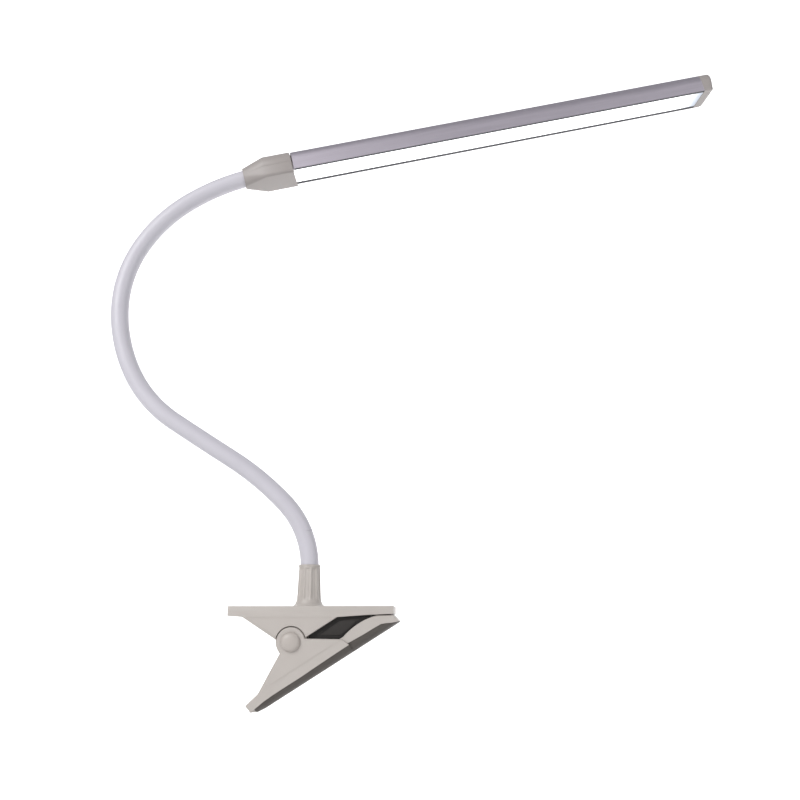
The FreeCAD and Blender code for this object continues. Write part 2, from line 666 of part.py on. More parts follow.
def neck_shell(name, keep_upper):
    """One half of the moulded neck housing, cut along the middle of the gooseneck."""
    body = new_body(name, head_place())
    loft(body, "AdditiveLoft", shell_sections(body, "0", "shell_eye"))
    loft(body, "SubtractiveLoft",
         shell_sections(body, "shell_wall", "( sleeve_radius + eye_clear )"))
    away = sketch_on(body, "XZ_Plane")
    low, high = ("0 - overcut", "shell_split") if keep_upper else (
        "shell_split", "bar_height + overcut")
    box_outline(away, "0 - shell_back - overcut", "overcut", low, high)
    pocket(body, away, "bar_width + 2 * overcut", midplane=True)
    if keep_upper:
        screw_circles(body, "shell_split", "boss_radius", pad, "boss_top - shell_split")
        screw_circles(body, "screw_seat", "sink_radius", pocket, "overcut", reverse=True)
        tongue(body)
    else:
        screw_circles(body, "0 - boss_sink", "boss_radius", pad, "shell_split + boss_sink")
    screw_circles(body, "0", "boss_bore", pocket, "bar_height + overcut", reverse=True)
    return body


def screw_circles(body, lift, radius, feature, length, **how):
    """A Pad or Pocket of the two circles about the neck screws' axes."""
    sketch = sketch_on(body, "XY_Plane", lift=lift)
    for across in ("screw_across", "0 - screw_across"):
        circle(sketch, radius, "screw_along", across)
    feature(body, sketch, length, **how)


def tongue(body):
    """The upper shell's tongue, which presses into the bar's duct."""
    root = sketch_on(body, "YZ_Plane", lift="0 - tongue_root")
    box_outline(root, "root_inset - bar_width / 2", "bar_width / 2 - root_inset",
                "shelf_low + shelf_thick + cap_clear", "root_high")
    pad(body, root, "tongue_root")
    reach = sketch_on(body, "YZ_Plane", lift="0 - tongue_root")
    duct_section(reach, "cap_clear")
    pad(body, reach, "tongue_root + tongue_long")


def neck_screws():
    """Two self-tapping screws that hold the shells together, set down from the back."""
    body = new_body("neck_screws", head_place())
    screw_circles(body, "screw_seat - screw_long", "screw_radius", pad, "screw_long + merge")
    screw_circles(body, "screw_seat", "screw_head", pad, "screw_head_tall")
    return body


def head_ferrule():
    """Collar crimped on the core's upper end, trapped in the neck housing."""
    neck_end, ahead = neck_frame(size("link_count") * size("link_length"))
    place = FreeCAD.Placement(neck_end, FreeCAD.Rotation(FreeCAD.Vector(0, 0, 1), ahead))
    body = new_body("head_ferrule", place)
    section = sketch_on(body, "XZ_Plane")
    foot = "sleeve_tail + crimp_gap"
    step, end = foot + " + crimp_long - collar_thick", foot + " + crimp_long"
    outline(section, [("crimp_bore", foot), ("crimp_radius", foot), ("crimp_radius", step),
                      ("collar_radius", step), ("collar_radius", end), ("crimp_bore", end)])
    turned(body, section)
    return body


def head_lead():
    """The last few millimetres of the twin lead, from the gooseneck down to the connector."""
    low = FreeCAD.Vector(size("wire_back"), 0, size("wire_high"))
    high = FreeCAD.Vector(size("wire_front"), 0, size("wire_low"))
    lead = doc.addObject("Part::Feature", "head_lead")
    lead.Label = "head_lead"
    lead.Shape = Part.makeCylinder(size("wire_radius"), (high - low).Length, low, high - low)
    lead.Placement = head_place()
    return lead


# ---------------------------------------------------------------- building and writing
def build():
    """Make every sub-part."""
    upper_arm()
    lower_arm()
    pivot_pin()
    pin_cap("pin_cap_front", -1)
    pin_cap("pin_cap_rear", 1)
    front = "jaw_end_x - end_wall - pad_clear"
    jaw_pad("upper_jaw_pad", [("pad_back_high_x", "pad_back_high_z"), (front, "pad_back_high_z"),
                              (front, "plate_under"), ("pad_back_high_x", "plate_under")])
    jaw_pad("lower_jaw_pad",
            corners_of("pad_seat_left", "pad_seat_mid", "pad_seat_right",
                       "pad_front_low", "pad_rise_low", "pad_top_low", "pad_step_low",
                       "pad_left_low"))
    torsion_spring()
    neck_ferrule()
    plate_washer()
    plate_nut()
    cord_grommet()
    gooseneck()
    bar_extrusion()
    diffuser()
    led_board()
    chip_row()
    board_connector()
    end_cap()
    neck_shell("neck_shell_upper", True)
    neck_shell("neck_shell_lower", False)
    neck_screws()
    head_ferrule()
    head_lead()


def write_parts():
    """Check every object and shape, then write each sub-part to a file of its own."""
    doc.recompute()
    for thing in doc.Objects:
        if "Invalid" in thing.State or "Error" in thing.State:
            raise ValueError("%s failed: %s" % (thing.Label, thing.State))
    pieces = [o for o in doc.Objects
              if o.TypeId in ("PartDesign::Body", "Part::Feature") and o.Label != "first_chip"]
    for piece in pieces:
        if piece.Shape.isNull() or not piece.Shape.isValid():
            raise ValueError("%s has no valid shape" % piece.Label)
    for piece in pieces:
        piece.Shape.exportStep("parts/%s.step" % piece.Label)
        print("%-18s %8.1f mm3, %d solids" % (piece.Label, piece.Shape.Volume,
                                              len(piece.Shape.Solids)))


fill_sheet()
ALIASES = set(SIZES) | {"bend_%d" % n for n in range(1, len(BENDS) + 1)} | {
    name + end for name in CORNERS for end in ("_x", "_z")}
build()
write_parts()
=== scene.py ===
"""Clip-on reading lamp: its looks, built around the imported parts. Sizes are in millimetres.

The sections follow the lamp as it is put together: clip, spring, gooseneck, LED bar, housing.
"""
import json
import math

import bmesh
import bpy
from mathutils import Matrix, Vector


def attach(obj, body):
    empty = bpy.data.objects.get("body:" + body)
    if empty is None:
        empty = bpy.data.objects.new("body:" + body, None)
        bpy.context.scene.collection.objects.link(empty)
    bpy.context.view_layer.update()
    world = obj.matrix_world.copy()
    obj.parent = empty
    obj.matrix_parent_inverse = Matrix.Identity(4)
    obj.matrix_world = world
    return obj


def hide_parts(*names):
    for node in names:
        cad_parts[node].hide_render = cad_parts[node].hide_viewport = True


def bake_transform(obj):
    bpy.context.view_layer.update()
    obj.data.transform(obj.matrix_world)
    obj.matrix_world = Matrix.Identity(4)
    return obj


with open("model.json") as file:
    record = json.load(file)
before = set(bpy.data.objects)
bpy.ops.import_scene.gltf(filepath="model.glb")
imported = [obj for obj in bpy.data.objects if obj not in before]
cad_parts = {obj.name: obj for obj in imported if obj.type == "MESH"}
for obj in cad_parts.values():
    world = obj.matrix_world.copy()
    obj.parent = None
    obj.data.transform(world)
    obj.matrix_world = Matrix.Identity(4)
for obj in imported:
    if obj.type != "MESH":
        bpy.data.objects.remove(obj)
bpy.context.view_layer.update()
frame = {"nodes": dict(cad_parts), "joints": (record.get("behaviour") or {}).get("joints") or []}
nodes = frame["nodes"]
joint_place = {joint["name"]: Vector(joint["pos_m"]) for joint in frame["joints"]}

# ------------------------------------------------------------------ upper arm of the clip
# One moulding in warm light grey ABS: a plate with a deep rim, two side webs cut out round the
# pivot, and the fluted stem that takes the gooseneck. Satin from a lightly spark-eroded tool.
MM = 0.001
PIVOT = joint_place["clip_hinge"]
CLIP_HALF = 17.0
EDGE = 0.4
PANEL_DEEP = 0.2
PLATE_TOP, PLATE_UNDER = 18.3, 15.6
NOTCH_RADIUS = 8.1
STEM_X = 6.87
UPPER_INNER = 14.5
HOLLOW_BACK, HOLLOW_FRONT, HOLLOW_LOW = -31.5, 51.3, -10
LUG_HALF, LUG_MIDDLE, LUG_TOP = 1.15, 13.35, 16.0
LUG_REAR_RADIUS, LUG_FRONT_RADIUS = 6.5, 8.2
BUSH_HOLE_RADIUS, BUSH_HOLE_PLACE = 2.65, (-11.0, 10.6)


def linear(code):
    """An sRGB hex colour in Blender's linear values."""
    parts = [int(code[at:at + 2], 16) / 255 for at in (0, 2, 4)]
    return tuple(p / 12.92 if p <= 0.04045 else ((p + 0.055) / 1.055) ** 2.4
                 for p in parts) + (1.0,)


def add(tree, kind, settings=None, inputs=None):
    """A node with its settings, and its inputs set to values or linked to sockets."""
    made = tree.nodes.new(kind)
    for name, value in (settings or {}).items():
        setattr(made, name, value)
    for name, value in (inputs or {}).items():
        if isinstance(value, bpy.types.NodeSocket):
            tree.links.new(value, made.inputs[name])
        else:
            made.inputs[name].default_value = value
    return made


def new_material(name, **shader_values):
    """A material whose shader has these values. Returns it with its tree and shader."""
    made = bpy.data.materials.new(name)
    made.use_nodes = True
    shader = made.node_tree.nodes["Principled BSDF"]
    for socket, value in shader_values.items():
        shader.inputs[socket.replace("_", " ")].default_value = value
    return made, made.node_tree, shader


def moulded(name, light, dark, roughness, grain, depth, patch=18.0):
    """Moulded plastic: faint cloudy tone over patches, and the tool's grain as a fine bump."""
    made, tree, shader = new_material(name, IOR=1.53, Metallic=0.0)
    place = add(tree, "ShaderNodeTexCoord").outputs["Object"]
    cloud = add(tree, "ShaderNodeTexNoise", None,
                {"Vector": place, "Scale": 1 / (patch * MM), "Detail": 3.0})
    tone = add(tree, "ShaderNodeMix", {"data_type": "RGBA"},
               {"Factor": cloud.outputs["Fac"], "A": linear(dark), "B": linear(light)})
    tree.links.new(tone.outputs["Result"], shader.inputs["Base Color"])
    pits = add(tree, "ShaderNodeTexNoise", None,
               {"Vector": place, "Scale": 1 / (grain * MM), "Detail": 2.0})
    gloss = add(tree, "ShaderNodeMapRange", None,
                {"Value": pits.outputs["Fac"], "To Min": roughness - 0.06,
                 "To Max": roughness + 0.06})
    tree.links.new(gloss.outputs["Result"], shader.inputs["Roughness"])
    bump = add(tree, "ShaderNodeBump", None,
               {"Height": pits.outputs["Fac"], "Strength": 0.35, "Distance": depth * MM})
    tree.links.new(bump.outputs["Normal"], shader.inputs["Normal"])
    return made


def object_of(name, mesh, *materials, bend=35.0):
    """A mesh as an object in the scene, smooth except over edges sharper than the bend."""
    made = bpy.data.objects.new(name, mesh)
    bpy.context.scene.collection.objects.link(made)
    if materials and len(mesh.materials):
        mesh.materials.clear()
    for material in materials:
        mesh.materials.append(material)
    mesh.shade_smooth()
    mesh.set_sharp_from_angle(angle=math.radians(bend))
    return made


def arc(centre, radius, start, end, steps):
    """Points of an arc between two angles in degrees."""
    angles = [math.radians(start + (end - start) * n / steps) for n in range(steps + 1)]
    return [(centre[0] + radius * math.cos(a), centre[1] + radius * math.sin(a)) for a in angles]


def inset(loop, distance):
    """An anticlockwise outline moved inwards, corner by corner. distance is one or one each."""
    count = len(loop)
    moves = distance if isinstance(distance, list) else [distance] * count
    moved = []
    for at, move in enumerate(moves):
        before, here, after = (Vector(loop[(at + k) % count]) for k in (-1, 0, 1))
        sides = [Vector((-(b - a).y, (b - a).x)).normalized()
                 for a, b in ((before, here), (here, after))]
        way = (sides[0] + sides[1]).normalized()
        moved.append(tuple(here + way * move / max(way.dot(sides[0]), 0.35)))
    return moved


def clip_place(point, across):
    """A point of the clip's side view, at a depth across the jaws, in the row frame."""
    return PIVOT + Vector((point[0], across, point[1])) * MM


def skin(form, rings, place, under=()):
    """Closed skin through rings of equal length, mirrored to the other side. A ring is its
    outline and its depth. The sides after the corners in under take the second material."""
    for side in (1, -1):
        loops = [[form.verts.new(place(p, depth * side)) for p in ring] for ring, depth in rings]
        for level, (first, second) in enumerate(zip(loops, loops[1:])):
            for at in range(len(first)):
                nxt = (at + 1) % len(first)
                face = form.faces.new((first[at], first[nxt], second[nxt], second[at]))
                face.material_index = int(at in under and level > 0)
        form.faces.new(loops[0])


def finished(form, name):
    """A form with its doubles merged and its faces turned outwards, as a mesh."""
    bmesh.ops.remove_doubles(form, verts=form.verts, dist=1e-7)
    bmesh.ops.recalc_face_normals(form, faces=form.faces)
    mesh = bpy.data.meshes.new(name)
    form.to_mesh(mesh)
    form.free()
    return mesh


def rounded_rings(loop, half, edge, still=()):
    """Rings from an end face over a rounded edge to the middle. still corners aren't rounded."""
    rings = []
    for turn in (0, 30, 60, 90):
        drawn = edge * (1 - math.sin(math.radians(turn)))
        moves = [0.0 if at in still else drawn for at in range(len(loop))]
        rings.append((inset(loop, moves), half - edge * (1 - math.cos(math.radians(turn)))))
    return rings


def slab(name, loop, half, edge=0.0, place=clip_place):
    """A slab of an outline with rounded edges, both sides alike."""
    form = bmesh.new()
    rings = rounded_rings(loop, half, edge) if edge else [(loop, half)]
    skin(form, rings + [(loop, 0.0)], place)
    return finished(form, name)


def carved(piece, *cutters):
    """The piece with each cutter's shape taken out of it."""
    for mesh in cutters:
        tool = object_of("cutter", mesh)
        cut = piece.modifiers.new("cut", "BOOLEAN")
        cut.object, cut.operation, cut.solver = tool, "DIFFERENCE", "EXACT"
        baked(piece)
        bpy.data.objects.remove(tool)
    return piece


def baked(piece):
    """The piece with its modifiers made part of its mesh."""
    graph = bpy.context.evaluated_depsgraph_get()
    graph.update()
    mesh = bpy.data.meshes.new_from_object(piece.evaluated_get(graph))
    piece.modifiers.clear()
    piece.data = mesh
    return piece


def joined(name, pieces):
    """Several closed pieces as one object, each face with the material that it had."""
    form, materials = bmesh.new(), []
    for piece in pieces:
        first, own = len(form.faces), list(piece.data.materials)
        materials += [material for material in own if material not in materials]
        form.from_mesh(piece.data)
        form.faces.ensure_lookup_table()
        for face in form.faces[first:]:
            face.material_index = materials.index(own[face.material_index])
    mesh = bpy.data.meshes.new(name)
    form.to_mesh(mesh)
    form.free()
    for piece in pieces:
        bpy.data.objects.remove(piece)
    return object_of(name, mesh, *materials)


def clip_cylinder(name, radius, half, centre=(0, 0), sides=48):
    """A cylinder across the clip."""
    return slab(name, arc(centre, radius, 0, 360 - 360 / sides, sides - 1), half)


STEM_RADIUS, STEM_TAPER, STEM_LOW, STEM_LONG = 6.6, 0.85, 20.2, 20.3
FOOT_FLARE, FLARE_FADE = 2.6, 1.2


def stem_radius(height):
    """Outer radius of the stem over its height: a slight taper on a foot that flares out."""
    foot = FOOT_FLARE * math.exp(-(max(height, PLATE_TOP) - PLATE_TOP) / FLARE_FADE)
    return STEM_RADIUS - STEM_TAPER * (height - STEM_LOW) / STEM_LONG + foot


FLUTES, FLUTE_DEEP, FLUTE_TURN = 10, 0.55, 268.0
FLUTE_LOW, FLUTE_TOP = 21.0, 38.9


def flute(angle, height):
    """Depth of the flutes, which run out above the foot and below the lip."""
    run = (min(max((height - FLUTE_LOW) / 2.0, 0), 1)
           * min(max((FLUTE_TOP - height) / 0.8, 0), 1))
    wave = 0.5 + 0.5 * math.cos(FLUTES * (angle - math.radians(FLUTE_TURN)))
    return FLUTE_DEEP * run * min(1.0, wave * 1.9)


abs_grey = moulded("satin_abs_warm_grey", "C2BBB5", "BAB3AD", 0.42, 0.35, 0.012)

upper_loop = ([(-33.7, 18.3), (-33.7, 13.2), (-26.0, 12.7)]
              + arc((0, 0), NOTCH_RADIUS, 171.0, 16.9, 24)
              + [(24.0, 12.6), (41.0, 13.75), (53.5, 14.2), (53.5, 18.3)])
upper = object_of("upper_arm_body", slab("upper", upper_loop, CLIP_HALF, EDGE), abs_grey)
hollow = slab("hollow", [(HOLLOW_BACK, HOLLOW_LOW), (HOLLOW_FRONT, HOLLOW_LOW),
                         (HOLLOW_FRONT, PLATE_UNDER), (HOLLOW_BACK, PLATE_UNDER)], UPPER_INNER)
# the webs' outer faces are sunk a little inside a plain border
sunk_loop = [(-23.7, 12.3), (-7.5, 2.03), (-3.0, -0.8), (3.0, 0.4), (7.27, 3.12), (21.8, 12.3)]
carved(upper, hollow, *(
    slab("sunk_web", sunk_loop, PANEL_DEEP, place=lambda p, y, side=side: clip_place(
        p, y + CLIP_HALF * side)) for side in (1, -1)))

lugs = []
for side, lug_radius in ((1, LUG_REAR_RADIUS), (-1, LUG_FRONT_RADIUS)):
    lug_loop = ([(lug_radius, LUG_TOP), (-lug_radius, LUG_TOP)]
                + arc((0, 0), lug_radius, 180, 360, 24))
    lugs.append(object_of("lug", slab(
        "lug", lug_loop, LUG_HALF, 0.2,
        place=lambda p, y, side=side: clip_place(p, y + LUG_MIDDLE * side)), abs_grey))

# the stem is turned over its outer heights, then over its lip and down its stepped bore
SEGMENTS, BORE_RADIUS = 160, 4.0
stem_heights = [18.0, 18.3, 18.6, 19.0, 19.5, 20.2, 21.0, 21.6, 22.2, 23.0, 26.0, 30.0, 34.0,
                37.0, 38.1, 38.5, 38.9, 39.2, 39.4]
form = bmesh.new()
stem_rings = []
for height in stem_heights:
    stem_rings.append([(stem_radius(height) - flute(2 * math.pi * n / SEGMENTS, height), height)
                       for n in range(SEGMENTS)])
for radius, height in ((5.95, 39.5), (5.97, 40.3), (5.8, 40.5), (5.2, 40.5), (5.1, 40.35),
                       (5.1, 38.68), (4.6, 38.68), (4.6, 27.0), (BORE_RADIUS, 27.0),
                       (BORE_RADIUS, 18.0)):
    stem_rings.append([(radius, height)] * SEGMENTS)
stem_verts = []
for ring in stem_rings:
    stem_verts.append([])
    for n, (radius, height) in enumerate(ring):
        angle = 2 * math.pi * n / SEGMENTS
        stem_verts[-1].append(form.verts.new(clip_place(
            (STEM_X + radius * math.cos(angle), height), radius * math.sin(angle))))
for first, second in zip(stem_verts, stem_verts[1:] + stem_verts[:1]):
    for n in range(SEGMENTS):
        form.faces.new((first[n], first[(n + 1) % SEGMENTS], second[(n + 1) % SEGMENTS],
                        second[n]))
stem = object_of("stem", finished(form, "stem"), abs_grey)
bore = slab("bore", arc((0, 0), BORE_RADIUS, 0, 352.5, 47), 4.0,
            place=lambda p, y: clip_place((STEM_X + p[0], 17.0 + y), p[1]))
carved(upper, bore, clip_cylinder("web_hole", BUSH_HOLE_RADIUS, 3.0, BUSH_HOLE_PLACE))
upper_arm = joined("upper_arm_moulding", [upper, *lugs, stem])
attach(upper_arm, "clip")
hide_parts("upper_arm")

# ------------------------------------------------------------------ lower arm of the clip
# The second moulding in the same ABS: a straight outer plate, two webs that end in the pivot's
# ears, and the nose that closes on the upper jaw. Its long lower edges are rolled under, and its
# underside is coarser in texture and painted darker, as painted shade under the arm.
SKYLINE_FOOT, SKYLINE_TIP = Vector((-17.2, -35.4)), Vector((56.3, 10.35))
ROLL_MAIN = ((1.2, 0.62), (3.0, 0.25), (5.5, 0.0))
ROLL_NOSE = ((0.9, 0.55), (2.6, 0.22), (5.0, 0.0))
ARCH_RADIUS = 36.0
NOSE_HALF, LOWER_INNER = 16.0, 14.8
PIN_HOLE_RADIUS, BORDER_DEEP = 2.05, 0.12


def skyline(point):
    """The nearest point of the lower arm's straight outer line."""
    along = (SKYLINE_TIP - SKYLINE_FOOT).normalized()
    return tuple(SKYLINE_FOOT + along * (Vector(point) - SKYLINE_FOOT).dot(along))


def rolled(name, upper_run, lower_run, half, roll):
    """A slab whose lower run rolls under to the straight outer line."""
    loop = upper_run + lower_run
    still = range(len(upper_run), len(loop))
    rings = rounded_rings(loop, half, EDGE, still)[:1] + [(loop, half - EDGE)]
    for inward, share in roll:
        low = [tuple(Vector(skyline(p)).lerp(Vector(p), share)) for p in lower_run]
        rings.append((upper_run + low, half - inward))
    form = bmesh.new()
    skin(form, rings + [(rings[-1][0], 0.0)], clip_place, under=still)
    return finished(form, name)


# the underside's coarser grain is real; its dark grey tone is painted shade
underside_painted_shade_abs = moulded("textured_abs_underside_painted_shade", "5C5650", "4E4944", 0.6, 0.5, 0.03)
ear = arc((0, 0), 7.5, 13.3, 225.0, 40)
main_upper = [(26.8, 1.4)] + ear + [(-16.2, -25.8), (-22.5, -31.7), (-19.6, -35.1)]
main_lower = [(-17.7, -33.4), (-13.2, -29.7), (-8.6, -26.5), (-2.0, -22.3), (5.0, -18.0),
              (13.0, -12.7), (20.8, -7.6), (27.0, -3.6), (30.5, -1.4)]
main = object_of("lower_arm_body", rolled("main", main_upper, main_lower, CLIP_HALF, ROLL_MAIN),
                 abs_grey, underside_painted_shade_abs)
arch_ends = (Vector((44.6, 13.5)), Vector((27.4, 2.7)))
chord = arch_ends[1] - arch_ends[0]
arch_centre = ((arch_ends[0] + arch_ends[1]) / 2 + Vector((-chord.y, chord.x)).normalized()
               * math.sqrt(ARCH_RADIUS**2 - (chord.length / 2) ** 2))
turns = [math.degrees(math.atan2(*(point - arch_centre).yx)) for point in arch_ends]
nose_upper = ([(56.3, 10.6), (53.4, 13.8), (51.6, 13.62)]
              + arc(arch_centre, ARCH_RADIUS, *turns, 14) + [(24.5, 0.9), (24.5, -3.2)])
nose_lower = [(29.3, -0.9), (34.0, 1.7), (38.6, 4.2), (43.0, 6.9), (47.0, 9.1), (49.6, 9.55),
              (52.3, 9.7), (55.5, 10.3)]
nose = object_of("lower_arm_nose", rolled("nose", nose_upper, nose_lower, NOSE_HALF, ROLL_NOSE),
                 abs_grey, underside_painted_shade_abs)
for part in (main, nose):
    carved(part, slab("hollow", [(-16.6, -32.0), (42.8, 5.0), (42.8, 15.6), (-23.7, 15.6),
                                 (-23.7, -23.6)], LOWER_INNER))
# a fine groove runs along each web, some way above its rolled lower edge
border_line = [(26.4, 1.0), (26.2, 1.25), (-10.1, -21.35), (-9.9, -21.6)]
carved(main, clip_cylinder("pin_hole", PIN_HOLE_RADIUS, 20.0), *(
    slab("border", border_line, BORDER_DEEP, place=lambda p, y, side=side: clip_place(
        p, y + CLIP_HALF * side)) for side in (1, -1)))
lower_arm = joined("lower_arm_moulding", [main, nose])
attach(lower_arm, "lower_jaw")
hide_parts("lower_arm")

# ------------------------------------------------------------------ jaw pads
# Two soft rubber blocks pressed into the jaws, dark grey and matt. Their edges are radiused and
# they stand a few millimetres back from the webs' outer faces, so the mouth of the clip looks
# deep. The lower one has a slightly raised panel on its sides and a thin lip at its front. The
# panel is painted a lighter grey than the rubber round it, as painted light on its face.
PANEL_HALF, LIP_HALF = 14.7, 14.2


def softened(node, width, material, bend=30.0):
    """A carried-over part with its edges rounded."""
    form = bmesh.new()
    form.from_mesh(nodes[node].data)
    bmesh.ops.remove_doubles(form, verts=form.verts, dist=1e-6)
    bmesh.ops.dissolve_limit(form, angle_limit=math.radians(0.5), verts=form.verts,
                             edges=form.edges)
    piece = object_of(node + "_soft", finished(form, node + "_soft"), material, bend=bend)
    edge = piece.modifiers.new("edge", "BEVEL")
    edge.width, edge.segments = width * MM, 3
    edge.limit_method, edge.angle_limit = "ANGLE", math.radians(bend)
    baked(piece)
    piece.data.set_sharp_from_angle(angle=math.radians(60))
    return piece


pad_rubber = moulded("matt_rubber_dark_grey", "201D1B", "1A1716", 0.72, 0.5, 0.03, patch=9.0)
# the raised panel's rubber is a lighter copy of the pad's: painted light
raised_rubber_painted_light = moulded("matt_rubber_raised_side_painted_light", "2E2A27", "272321", 0.72, 0.5, 0.03, patch=9.0)
front_lip = [(42.0, 13.1), (42.9, 13.12), (44.4, 13.52), (44.4, 13.66), (42.0, 13.66)]
side_panel = [(15.0, 3.4), (26.0, 3.4), (30.3, 6.5), (34.4, 10.6), (36.6, 11.7), (25.6, 11.0)]
for node, body in (("upper_jaw_pad", "clip"), ("lower_jaw_pad", "lower_jaw")):
    pad = softened(node, 0.5, pad_rubber)
    if node == "lower_jaw_pad":
        panel = object_of("raised_side", slab("raised_side", side_panel, PANEL_HALF, 0.3),
                          raised_rubber_painted_light)
        lip = object_of("front_lip", slab("front_lip", front_lip, LIP_HALF), pad_rubber)
        pad = joined("lower_jaw_pad_soft", [pad, panel, lip])
    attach(pad, body)
    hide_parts(node)

# ------------------------------------------------------------------ pivot caps and pin
# Domed caps of the same ABS snap into the ends of the steel pin and hide it. A turned pin with a
# bright drawn finish carries both arms.
CAP_PROFILE = ((0.0, 2.6), (1.4, 2.56), (2.7, 2.4), (3.7, 2.08), (4.4, 1.62), (4.85, 1.08),
               (5.08, 0.55), (5.12, 0.05), (4.9, 0.0), (1.0, 0.0), (1.0, -3.8), (0.8, -4.0),
               (0.0, -4.0))
CAP_SEAT = 17.05
cap_abs = moulded("satin_abs_cap", "BEB6AF", "B6AEA8", 0.38, 0.3, 0.01)


def turned(name, profile, centre, ahead, material, sides=72, bend=35.0):
    """A turned form about an axis: profile points are radius and distance ahead."""
    frame_of = ahead.to_track_quat("Z", "Y").to_matrix()
    form = bmesh.new()
    rings = []
    for radius, along in profile:
        count = 1 if radius == 0 else sides
        rings.append([form.verts.new(centre + frame_of @ Vector((
            radius * math.cos(2 * math.pi * n / sides), radius * math.sin(2 * math.pi * n / sides),
            along)) * MM) for n in range(count)])
    closed = len(rings[0]) > 1
    for first, second in zip(rings, rings[1:] + (rings[:1] if closed else [])):
        for n in range(sides):
            corners = [first[n % len(first)], first[(n + 1) % len(first)],
                       second[(n + 1) % len(second)], second[n % len(second)]]
            form.faces.new(list(dict.fromkeys(corners)))
    return object_of(name, finished(form, name), material, bend=bend)


for name, side in (("front", -1), ("rear", 1)):
    cap = turned("cap_" + name, CAP_PROFILE, PIVOT + Vector((0, side * CAP_SEAT * MM, 0)),
                 Vector((0, side, 0)), cap_abs)
    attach(cap, "clip")
    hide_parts("pin_cap_" + name)


def metal(name, colour, roughness, line, along, depth=0.004):
    """Worked metal: fine lines that run along one direction, in tone, gloss and bump."""
    made, tree, shader = new_material(name, Metallic=1.0)
    place = add(tree, "ShaderNodeTexCoord").outputs["Object"]
    turn = Vector(along).to_track_quat("X", "Z").inverted().to_euler()
    lay = add(tree, "ShaderNodeMapping", None, {"Vector": place, "Rotation": turn})
    stretch = add(tree, "ShaderNodeMapping", None,
                  {"Vector": lay.outputs["Vector"], "Scale": (0.02, 1.0, 1.0)})
    lines = add(tree, "ShaderNodeTexNoise", None,
                {"Vector": stretch.outputs["Vector"], "Scale": 1 / (line * MM), "Detail": 4.0})
    light = linear(colour)
    dark = tuple(0.82 * part for part in light[:3]) + (1.0,)
    tone = add(tree, "ShaderNodeMix", {"data_type": "RGBA"},
               {"Factor": lines.outputs["Fac"], "A": dark, "B": light})
    tree.links.new(tone.outputs["Result"], shader.inputs["Base Color"])
    gloss = add(tree, "ShaderNodeMapRange", None,
                {"Value": lines.outputs["Fac"], "To Min": roughness - 0.07,
                 "To Max": roughness + 0.07})
    tree.links.new(gloss.outputs["Result"], shader.inputs["Roughness"])
    bump = add(tree, "ShaderNodeBump", None,
               {"Height": lines.outputs["Fac"], "Strength": 0.3, "Distance": depth * MM})
    tree.links.new(bump.outputs["Normal"], shader.inputs["Normal"])
    return made


def dress(node, material):
    """Give a carried-over part its material."""
    nodes[node].data.materials.clear()
    nodes[node].data.materials.append(material)


dress("pivot_pin", metal("drawn_steel_pin", "C9C9CB", 0.28, 0.12, (0, 1, 0)))

# ------------------------------------------------------------------ torsion spring
# Blackened spring wire wound about the pin. One leg bears under the upper plate, the other on
# the lower plate, and the coil winds up as the levers are pinched.
COIL_RADIUS, WIRE_RADIUS, COIL_HALF, WHOLE_TURNS = 5.1, 0.8, 3.9, 4
UPPER_FOOT, LOWER_FOOT = Vector((-20.0, 14.3)), Vector((-13.4, -28.2))


def tangent_angle(foot, way):
    """Angle on the coil where a leg from the foot runs on tangentially."""
    return math.atan2(foot.y, foot.x) + way * math.acos(COIL_RADIUS / foot.length)


first_angle = tangent_angle(UPPER_FOOT, -1)
last_angle = tangent_angle(LOWER_FOOT, 1) - 2 * math.pi * (WHOLE_TURNS + 1)
spring_path = [clip_place(UPPER_FOOT, -COIL_HALF)]
COIL_STEPS = 150
for n in range(COIL_STEPS + 1):
    share = n / COIL_STEPS
    angle = first_angle + (last_angle - first_angle) * share
    spring_path.append(clip_place((COIL_RADIUS * math.cos(angle), COIL_RADIUS * math.sin(angle)),
                                  -COIL_HALF + 2 * COIL_HALF * share))
spring_path.append(clip_place(LOWER_FOOT, COIL_HALF))


def path_object(name, points):
    """An open line of edges through points, for a tree that follows it."""
    mesh = bpy.data.meshes.new(name)
    mesh.from_pydata(points, [(n, n + 1) for n in range(len(points) - 1)], [])
    made = bpy.data.objects.new(name, mesh)
    bpy.context.scene.collection.objects.link(made)
    return made


def new_tree(name, sizes):
    """A geometry tree with a geometry input, named sizes, a material and a geometry output."""
    tree = bpy.data.node_groups.new(name, "GeometryNodeTree")
    tree.interface.new_socket("Geometry", in_out="INPUT", socket_type="NodeSocketGeometry")
    for size, kind in sizes:
        tree.interface.new_socket(size, in_out="INPUT", socket_type="NodeSocket" + kind)
    tree.interface.new_socket("Material", in_out="INPUT", socket_type="NodeSocketMaterial")
    tree.interface.new_socket("Geometry", in_out="OUTPUT", socket_type="NodeSocketGeometry")
    return tree, add(tree, "NodeGroupInput").outputs


def close_tree(tree, geometry, entry):
    """End a tree: realize its instances, set its material, put it out."""
    real = add(tree, "GeometryNodeRealizeInstances", None, {"Geometry": geometry})
    painted = add(tree, "GeometryNodeSetMaterial", None,
                  {"Geometry": real.outputs["Geometry"], "Material": entry["Material"]})
    add(tree, "NodeGroupOutput", None, {"Geometry": painted.outputs["Geometry"]})


def grown(piece, tree, name, bend=60.0, **values):
    """The plain mesh that a tree makes from a piece, as an object of its own."""
    modifier = piece.modifiers.new("tree", "NODES")
    modifier.node_group = tree
    for socket in tree.interface.items_tree:
        if socket.in_out == "INPUT" and socket.name in values:
            modifier[socket.identifier] = values[socket.name]
    baked(piece)
    mesh, material = piece.data, values["Material"]
    bpy.data.objects.remove(piece)
    return object_of(name, mesh, material, bend=bend)


